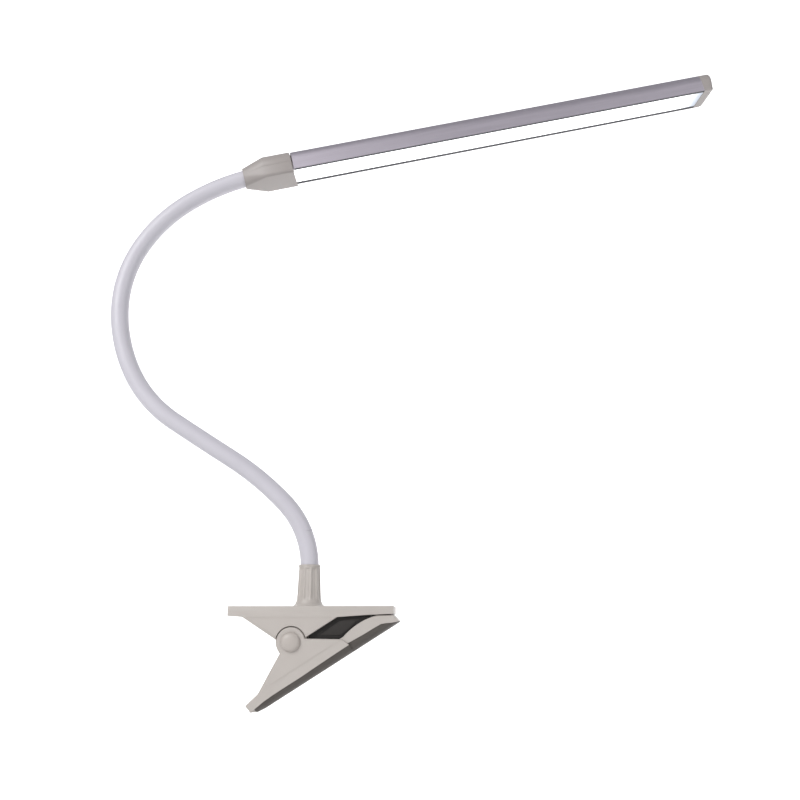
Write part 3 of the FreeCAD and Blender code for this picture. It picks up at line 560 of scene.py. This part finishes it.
# a wire or tube that follows a path: Radius is its own, in metres, Sides the points round it
tube_tree, entry = new_tree("tube_on_path", (("Radius", "Float"), ("Sides", "Int"),
                                             ("Closed", "Bool")))
line = add(tube_tree, "GeometryNodeMeshToCurve", None, {"Mesh": entry["Geometry"]})
ring = add(tube_tree, "GeometryNodeCurvePrimitiveCircle", None,
           {"Resolution": entry["Sides"], "Radius": entry["Radius"]})
swept = add(tube_tree, "GeometryNodeCurveToMesh", None,
            {"Curve": line.outputs["Curve"], "Profile Curve": ring.outputs["Curve"],
             "Fill Caps": entry["Closed"]})
close_tree(tube_tree, swept.outputs["Mesh"], entry)

spring_steel = metal("blackened_spring_wire", "3A3B3E", 0.36, 0.2, (0, 1, 0))
spring = grown(path_object("spring_path", spring_path), tube_tree, "wound_spring",
               Radius=WIRE_RADIUS * MM, Sides=14, Closed=True, Material=spring_steel)
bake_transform(spring)
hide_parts("torsion_spring")

# ------------------------------------------------------------------ ferrules, washer, nut, grommet
# Turned brass ferrules are crimped on both ends of the gooseneck's core. The lower one is pulled
# down by a plated washer and a thin nut. A black rubber bush lines the cord's hole at the back.
brass = metal("turned_brass", "C7A35C", 0.3, 0.15, (1, 0, 0))
zinc = metal("zinc_plated_steel", "B9BCC0", 0.34, 0.25, (1, 0, 0))
for node in ("neck_ferrule", "head_ferrule"):
    dress(node, brass)
for node in ("plate_washer", "plate_nut", "neck_screws"):
    dress(node, zinc)
dress("cord_grommet", moulded("black_rubber_bush", "1E1D1D", "171616", 0.6, 0.4, 0.02))

# ------------------------------------------------------------------ gooseneck
# A satin PVC sleeve over a tightly wound steel core, with the twisted lead inside. Every layer is
# one continuous length here, drawn from the middle of one link to the middle of the next.
LINK, LINKS = 39.3, 8
BENDS = (44.0, 14.0, -1.0, -31.0, -25.0, -30.0, -25.0, -18.0)
NECK_TURN = math.radians(6.0)
NECK_FOOT = clip_place((STEM_X, 38.68), 0)
NECK_PLANE = Vector((math.cos(NECK_TURN), math.sin(NECK_TURN), 0))
NECK_SIDE = Vector((-math.sin(NECK_TURN), math.cos(NECK_TURN), 0))
WINDING = LINK / 24


def neck_point(along):
    """Centre of the gooseneck so far along it, and its direction there."""
    across, rise, heading, left = 0.0, 0.0, math.pi / 2, along
    for number, bend in enumerate(BENDS):
        last = number == LINKS - 1
        step = left if last else min(max(left, 0), LINK)
        if last and left > LINK:
            step = LINK
        radius = LINK / math.radians(bend)
        swing = step / radius
        across += radius * (math.sin(heading + swing) - math.sin(heading))
        rise -= radius * (math.cos(heading + swing) - math.cos(heading))
        heading += swing
        left -= step
    ahead = NECK_PLANE * math.cos(heading) + Vector((0, 0, math.sin(heading)))
    beyond = max(left, 0)
    return NECK_FOOT + (NECK_PLANE * (across + beyond * math.cos(heading))
                        + Vector((0, 0, rise + beyond * math.sin(heading)))) * MM, ahead


def stretch(start, end, step):
    """Centre points of the gooseneck between two distances along it."""
    count = max(2, round((end - start) / step))
    return [neck_point(start + (end - start) * n / count)[0] for n in range(count + 1)]


# a strand wound about a path: Steps points to a turn, Coil its distance from the path, Phase its
# start and Side the direction that it starts from, square to the whole path
wound_tree, entry = new_tree("strand_about_path", (
    ("Turn Length", "Float"), ("Steps", "Int"), ("Coil", "Float"), ("Radius", "Float"),
    ("Sides", "Int"), ("Phase", "Float"), ("Side", "Vector")))
line = add(wound_tree, "GeometryNodeMeshToCurve", None, {"Mesh": entry["Geometry"]})
spacing = add(wound_tree, "ShaderNodeMath", {"operation": "DIVIDE"},
              {0: entry["Turn Length"], 1: entry["Steps"]})
even = add(wound_tree, "GeometryNodeResampleCurve", {"mode": "LENGTH"},
           {"Curve": line.outputs["Curve"], "Length": spacing.outputs["Value"]})
place_along = add(wound_tree, "GeometryNodeSplineParameter")
turns_done = add(wound_tree, "ShaderNodeMath", {"operation": "DIVIDE"},
                 {0: place_along.outputs["Length"], 1: entry["Turn Length"]})
turn_angle = add(wound_tree, "ShaderNodeMath", {"operation": "MULTIPLY_ADD"},
                 {0: turns_done.outputs["Value"], 1: 2 * math.pi, 2: entry["Phase"]})
tangent = add(wound_tree, "GeometryNodeInputTangent")
spoke = add(wound_tree, "ShaderNodeVectorRotate", {"rotation_type": "AXIS_ANGLE"},
            {"Vector": entry["Side"], "Axis": tangent.outputs["Tangent"],
             "Angle": turn_angle.outputs["Value"]})
offset = add(wound_tree, "ShaderNodeVectorMath", {"operation": "SCALE"},
             {0: spoke.outputs["Vector"], "Scale": entry["Coil"]})
coiled = add(wound_tree, "GeometryNodeSetPosition", None,
             {"Geometry": even.outputs["Curve"], "Offset": offset.outputs["Vector"]})
ring = add(wound_tree, "GeometryNodeCurvePrimitiveCircle", None,
           {"Resolution": entry["Sides"], "Radius": entry["Radius"]})
swept = add(wound_tree, "GeometryNodeCurveToMesh", None,
            {"Curve": coiled.outputs["Geometry"], "Profile Curve": ring.outputs["Curve"],
             "Fill Caps": True})
close_tree(wound_tree, swept.outputs["Mesh"], entry)

sleeve_pvc = moulded("satin_pvc_sleeve", "CECBD2", "C6C3CB", 0.4, 0.6, 0.006, patch=30.0)
core_steel = metal("wound_steel_wire", "9A9CA0", 0.34, 0.2, (0, 0, 1))
lead_pvc = moulded("pvc_insulated_lead", "D9D7D2", "CFCDC8", 0.45, 0.4, 0.005)


def sleeve_piece(name, start, end):
    """A length of the sleeve with its 1 mm wall."""
    tube = grown(path_object(name, stretch(start, end, 1.6)), tube_tree, name,
                 Radius=5.0 * MM, Sides=56, Closed=False, Material=sleeve_pvc)
    wall = tube.modifiers.new("wall", "SOLIDIFY")
    wall.thickness, wall.offset = 1.0 * MM, -1.0
    form = bmesh.new()
    form.from_mesh(tube.data)
    bmesh.ops.recalc_face_normals(form, faces=form.faces)
    centre, _ = neck_point((start + end) / 2)
    probe = min(form.faces, key=lambda f: (f.calc_center_median() - centre).length)
    if probe.normal.dot(probe.calc_center_median() - centre) < 0:
        bmesh.ops.reverse_faces(form, faces=form.faces)
    form.to_mesh(tube.data)
    form.free()
    baked(tube)
    tube.data.set_sharp_from_angle(angle=math.radians(40))
    return tube


def core_piece(name, start, end):
    """A length of the wound core."""
    return grown(path_object(name, stretch(start, end, 1.0)), wound_tree, name, **{
        "Turn Length": WINDING * MM, "Steps": 14, "Coil": 3.03 * MM, "Radius": 0.81 * MM,
        "Sides": 8, "Phase": 0.0, "Side": NECK_SIDE, "Material": core_steel})


def lead_piece(name, start, end):
    """A length of the two twisted wires of the lead."""
    return joined(name, [
        grown(path_object(name, stretch(start, end, 1.0)), wound_tree, name, **{
            "Turn Length": LINK / 2 * MM, "Steps": 24, "Coil": 0.75 * MM, "Radius": 0.72 * MM,
            "Sides": 12, "Phase": phase, "Side": NECK_SIDE, "Material": lead_pvc})
        for phase in (0.0, math.pi)])


for layer, make, slot, tail in (("sleeve", sleeve_piece, "sleeve_pvc", 4.0),
                                ("core", core_piece, "core_steel", 10.9),
                                ("lead", lead_piece, "lead_pvc", 20.0)):
    foot_tail = 0.0 if layer == "sleeve" else tail
    piece = make("%s_foot" % layer, -foot_tail, LINK / 2)
    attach(piece, "clip")
    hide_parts("%s_link_1" % layer)
    for number in range(1, LINKS):
        piece = make("%s_%d" % (layer, number), (number - 0.5) * LINK, (number + 0.5) * LINK)
        neck_point((number - 0.5) * LINK + 3.0)[0]
        neck_point((number + 0.5) * LINK - 3.0)[0]
        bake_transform(piece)
        if number < LINKS - 1:
            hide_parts("%s_link_%d" % (layer, number + 1))
    piece = make("%s_head" % layer, (LINKS - 0.5) * LINK, LINKS * LINK + tail)
    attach(piece, "head")
    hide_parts("%s_link_%d" % (layer, LINKS))

# ------------------------------------------------------------------ LED bar
# A satin anodised aluminium extrusion with a rounded back. Drawing marks run along it. The opal
# strip that closes it is lit from behind by the LED packages on their white board. Along both
# sides the rails' undersides and the strip's edges are painted dark, as painted shade.
neck_end, _ = neck_point(LINKS * LINK)
HEAD = (Matrix.Rotation(NECK_TURN, 3, "Z") @ Matrix.Rotation(-math.radians(14.0), 3, "Y"))
MOUTH = neck_end + HEAD @ Vector((27.0, 0, -4.9)) * MM
BAR_LONG, BAR_HALF, BAR_TALL = 266.2, 10.0, 14.0


def head_place(along, across, up):
    """A point of the head: along the bar from its mouth, across it, and out of its back."""
    return MOUTH + HEAD @ Vector((along, across, up)) * MM


def beyond(tree, place, way, distance, both_ways=False):
    """Whether a place is further than the distance from the bar's mouth along a direction."""
    measured = add(tree, "ShaderNodeVectorMath", {"operation": "DOT_PRODUCT"},
                   {0: place, 1: HEAD @ Vector(way)})
    from_mouth = add(tree, "ShaderNodeMath", {"operation": "SUBTRACT"}, {
        0: measured.outputs["Value"], 1: MOUTH.dot(HEAD @ Vector(way))})
    if both_ways:
        from_mouth = add(tree, "ShaderNodeMath", {"operation": "ABSOLUTE"},
                         {0: from_mouth.outputs["Value"]})
    return add(tree, "ShaderNodeMath", {"operation": "GREATER_THAN"}, {
        0: from_mouth.outputs["Value"], 1: distance * MM}).outputs["Value"]


# the painted shade starts so far from the bar's middle line, on the rails and on the strip, and on
# the rails it keeps to their undersides, the lowest 0.1 mm
RAIL_PAINTED_SHADE, STRIP_PAINTED_SHADE = 8.0, 7.7
UNDERSIDE = -0.1
painted_shade_tone = linear("4A4A4E")
anodised = metal("anodised_aluminium_bar", "CAC3CD", 0.5, 0.5, HEAD @ Vector((1, 0, 0)), 0.003)
tree = anodised.node_tree
place = add(tree, "ShaderNodeTexCoord").outputs["Object"]
# the rails' undersides are painted in a dark tone: painted shade
rail_painted_shade = add(tree, "ShaderNodeMath", {"operation": "MULTIPLY"}, {
    0: beyond(tree, place, (0, 0, -1), UNDERSIDE),
    1: beyond(tree, place, (0, 1, 0), RAIL_PAINTED_SHADE, both_ways=True)})
shader = tree.nodes["Principled BSDF"]
drawn_tone = shader.inputs["Base Color"].links[0].from_socket
rail_tone_with_painted_shade = add(tree, "ShaderNodeMix", {"data_type": "RGBA"},
                {"Factor": rail_painted_shade.outputs["Value"], "A": drawn_tone, "B": painted_shade_tone})
tree.links.new(rail_tone_with_painted_shade.outputs["Result"], shader.inputs["Base Color"])
dress("bar_extrusion", anodised)

# the strip's light dies away over its last stretch, before the end cap, and over the same stretch
# its base colour is painted darker and bluer, as painted shade
DIM_START, DIM_END = 252.0, 266.0
opal, tree, shader = new_material("lit_opal_polycarbonate", IOR=1.58, Roughness=0.35)
place = add(tree, "ShaderNodeTexCoord").outputs["Object"]
along_bar = add(tree, "ShaderNodeVectorMath", {"operation": "DOT_PRODUCT"},
                {0: place, 1: HEAD @ Vector((1, 0, 0))})
start_of_bar = MOUTH.dot(HEAD @ Vector((1, 0, 0)))
fade_and_painted_shade = add(tree, "ShaderNodeMapRange", {"interpolation_type": "SMOOTHSTEP"},
            {"Value": along_bar.outputs["Value"], "From Min": start_of_bar + DIM_START * MM,
             "From Max": start_of_bar + DIM_END * MM, "To Min": 0.0, "To Max": 1.0})
glow = add(tree, "ShaderNodeMix", {"data_type": "RGBA"},
           {"Factor": fade_and_painted_shade.outputs["Result"], "A": linear("FFFFFF"), "B": linear("50565F")})
# the strip's long edges are painted dark and give no light: painted shade
strip_painted_shade = beyond(tree, place, (0, 1, 0), STRIP_PAINTED_SHADE, both_ways=True)
glow_cut_by_painted_shade = add(tree, "ShaderNodeMix", {"data_type": "RGBA"},
                 {"Factor": strip_painted_shade, "A": glow.outputs["Result"], "B": linear("000000")})
tree.links.new(glow_cut_by_painted_shade.outputs["Result"], shader.inputs["Emission Color"])
frost = add(tree, "ShaderNodeTexNoise", None, {"Vector": place, "Scale": 1 / (0.8 * MM)})
milk = add(tree, "ShaderNodeMix", {"data_type": "RGBA"},
           {"Factor": frost.outputs["Fac"], "A": linear("F2F3F6"), "B": linear("FAFAFC")})
# the base colour darkens towards the end cap: painted shade
milk_with_painted_shade = add(tree, "ShaderNodeMix", {"data_type": "RGBA"},
            {"Factor": fade_and_painted_shade.outputs["Result"], "A": milk.outputs["Result"],
             "B": linear("B9C0CB")})
base_with_painted_shade = add(tree, "ShaderNodeMix", {"data_type": "RGBA"},
                 {"Factor": strip_painted_shade, "A": milk_with_painted_shade.outputs["Result"], "B": painted_shade_tone})
tree.links.new(base_with_painted_shade.outputs["Result"], shader.inputs["Base Color"])
shader.inputs["Emission Strength"].default_value = 1.6
dress("diffuser", opal)

dress("led_board", moulded("white_solder_mask", "F1F1EE", "E9E9E6", 0.35, 0.6, 0.004))
dress("board_connector", moulded("nylon_connector", "EDEAE0", "E4E0D6", 0.45, 0.4, 0.005))
dress("head_lead", lead_pvc)

# one LED package with its sunk phosphor window, repeated by the tree along the board
CHIP_FIRST, CHIP_LONG, CHIP_WIDE, CHIP_LOW, CHIP_TALL = 11.0, 3.5, 2.8, 3.55, 0.75
form = bmesh.new()
levels = ((0.0, CHIP_TALL), (0.0, 0.08), (0.08, 0.0), (0.4, 0.0), (0.6, 0.15))
rings = []
for drawn, up in levels:
    rings.append([form.verts.new(head_place(CHIP_FIRST + x, y, CHIP_LOW + up)) for x, y in (
        (drawn, -CHIP_WIDE / 2 + drawn), (CHIP_LONG - drawn, -CHIP_WIDE / 2 + drawn),
        (CHIP_LONG - drawn, CHIP_WIDE / 2 - drawn), (drawn, CHIP_WIDE / 2 - drawn))])
for first, second in zip(rings, rings[1:]):
    for n in range(4):
        form.faces.new((first[n], first[(n + 1) % 4], second[(n + 1) % 4], second[n]))
form.faces.new(rings[0])
form.faces.new(rings[-1])
chip = object_of("led_package", finished(form, "led_package"))
row_tree, entry = new_tree("row_of_packages", (("Count", "Int"), ("Step", "Vector")))
spots = add(row_tree, "GeometryNodeMeshLine", {"mode": "OFFSET", "count_mode": "TOTAL"},
            {"Count": entry["Count"], "Offset": entry["Step"]})
copies = add(row_tree, "GeometryNodeInstanceOnPoints", None,
             {"Points": spots.outputs["Mesh"], "Instance": entry["Geometry"]})
close_tree(row_tree, copies.outputs["Instances"], entry)
phosphor = moulded("phosphor_led_package", "F0DFA0", "E8D480", 0.4, 0.5, 0.004)
chips = grown(chip, row_tree, "led_packages", bend=30.0, Count=36,
              Step=HEAD @ Vector((7.0 * MM, 0, 0)), Material=phosphor)
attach(chips, "head")
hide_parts("led_chips")

# ------------------------------------------------------------------ end cap
# A moulded cap that closes the bar's far end: the bar's own outline with a rounded edge round the
# end face. The face leans outwards by CAP_LEAN for each millimetre up, and the underside's edge
# rises by CAP_FOOT_RISE of its rounding. Warm grey ABS.
housing_abs = moulded("satin_abs_housing", "A49D9A", "9B9491", 0.44, 0.35, 0.012)
BAR_ROUND, CAP_LONG, CAP_SIDE_ROUND, CAP_BACK_ROUND = 7.5, 6.7, 3.0, 1.8
CAP_LEAN, CAP_FOOT_RISE = 0.16, 0.5
shoulder, rise = BAR_HALF - BAR_ROUND, BAR_TALL - BAR_ROUND
cap_section = [((BAR_HALF, 0.0), 0.0)]
for centre_y, first_turn in ((shoulder, 0), (-shoulder, 90)):
    turns = [first_turn + 90 * n / 14 for n in range(15)]
    cap_section += zip(arc((centre_y, rise), BAR_ROUND, first_turn, first_turn + 90, 14), turns)
cap_section.append(((-BAR_HALF, 0.0), 180.0))

form = bmesh.new()
loops = []
for turn in (-1, 0, 15, 30, 45, 60, 75, 90):
    loops.append([])
    for (across, up), way in cap_section:
        facing = Vector((math.cos(math.radians(way)), math.sin(math.radians(way))))
        edge = CAP_SIDE_ROUND * facing.x**2 + CAP_BACK_ROUND * facing.y**2
        drawn = edge * (1 - math.cos(math.radians(max(turn, 0))))
        short = edge * (1 - math.sin(math.radians(max(turn, 0))))
        height = up - facing.y * drawn + (CAP_FOOT_RISE * drawn if up == 0 else 0)
        along = BAR_LONG if turn < 0 else BAR_LONG + CAP_LONG - short + CAP_LEAN * height
        loops[-1].append(form.verts.new(head_place(along, across - facing.x * drawn, height)))
for first, second in zip(loops, loops[1:]):
    for n in range(len(first)):
        form.faces.new((first[n], first[(n + 1) % len(first)], second[(n + 1) % len(first)],
                        second[n]))
form.faces.new(loops[0])
form.faces.new(loops[-1])
end_cap = object_of("end_cap_moulding", finished(form, "end_cap_moulding"), housing_abs)
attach(end_cap, "head")
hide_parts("end_cap")

# ------------------------------------------------------------------ neck housing
# Two moulded shells screwed together about the gooseneck's end: a cone that opens from the
# sleeve to the bar's section, in the same warm grey ABS, with a hairline joint along the middle.
# The lower shell's mouth grows longer from the lamp's front to its back, by LIP_LONG in all.
LIP_LONG = 2.1
for node in ("neck_shell_upper", "neck_shell_lower"):
    shell = softened(node, 0.25, housing_abs, bend=28.0)
    for vert in shell.data.vertices:
        along, across, up = (HEAD.transposed() @ (vert.co - MOUTH)) / MM
        if along > -0.6 and up < 0:
            vert.co += HEAD @ Vector((LIP_LONG * (across / BAR_HALF + 1) / 2, 0, 0)) * MM
    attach(shell, "head")
    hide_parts(node)

# ------------------------------------------------------------------ floor, light and camera
# A plain pale floor that runs into a backlit white screen behind the lamp, a large soft light over
# its left shoulder, a weaker fill from the right and an even pale surround.
FLOOR, FLOOR_FRONT, FLOOR_BACK, SWEEP, WALL = -0.16, -1.6, 1.5, 0.6, 2.6
SCREEN_START, SCREEN_HALF = 0.32, 3.0
screen_line = [(SCREEN_START, FLOOR)]
for n in range(17):
    angle = math.radians(-90 + 90 * n / 16)
    screen_line.append((FLOOR_BACK + SWEEP * math.cos(angle),
                        FLOOR + SWEEP + SWEEP * math.sin(angle)))
screen_line.append((FLOOR_BACK + SWEEP, WALL))
paper = moulded("matt_white_paper", "F4F4F4", "F0F0F0", 0.9, 4.0, 0.0, patch=400.0)
screen, _, shader = new_material("backlit_white_screen", Base_Color=linear("F4F4F4"))
shader.inputs["Emission Color"].default_value = linear("FFFFFF")
shader.inputs["Emission Strength"].default_value = 0.9
for name, line, material in (("floor", [(FLOOR_FRONT, FLOOR), (SCREEN_START, FLOOR)], paper),
                             ("screen", screen_line, screen)):
    mesh = bpy.data.meshes.new(name)
    mesh.from_pydata([(x, y, z) for y, z in line for x in (-SCREEN_HALF, SCREEN_HALF)], [],
                     [(2 * n, 2 * n + 1, 2 * n + 3, 2 * n + 2) for n in range(len(line) - 1)])
    object_of(name, mesh, material)


def soft_light(name, at, aim, size, power, tint="FFFFFF"):
    """A square soft light at one point, turned to another."""
    data = bpy.data.lights.new(name, "AREA")
    data.size, data.energy, data.color = size, power, linear(tint)[:3]
    lamp = bpy.data.objects.new(name, data)
    lamp.matrix_world = (Matrix.Translation(at)
                         @ (Vector(aim) - Vector(at)).to_track_quat("-Z", "Y").to_matrix().to_4x4())
    bpy.context.scene.collection.objects.link(lamp)


soft_light("key", (-0.8, -1.1, 0.8), (-0.02, 0, 0.08), 0.9, 14.5)
soft_light("fill", (0.9, -0.8, 0.4), (0.0, 0, 0.1), 0.8, 2.5)
world = bpy.data.worlds.new("surround")
world.use_nodes = True
world.node_tree.nodes["Background"].inputs["Color"].default_value = linear("F2F4F8")
world.node_tree.nodes["Background"].inputs["Strength"].default_value = 0.4
bpy.context.scene.world = world

EYE = Vector((26.4, -501.6, -5.6)) * MM
AHEAD = Vector((-0.0339, 0.9697, 0.2419)).normalized()
camera_data = bpy.data.cameras.new("camera")
camera_data.lens, camera_data.sensor_width = 40.77, 36.0
camera_data.clip_start, camera_data.clip_end = 0.01, 20.0
camera = bpy.data.objects.new("camera", camera_data)
right = AHEAD.cross(Vector((0, 0, 1))).normalized()
camera.matrix_world = Matrix.Translation(EYE) @ Matrix(
    (right, right.cross(AHEAD), -AHEAD)).transposed().to_4x4()
bpy.context.scene.collection.objects.link(camera)
bpy.context.scene.camera = camera
bpy.context.scene.view_settings.view_transform = "Standard"
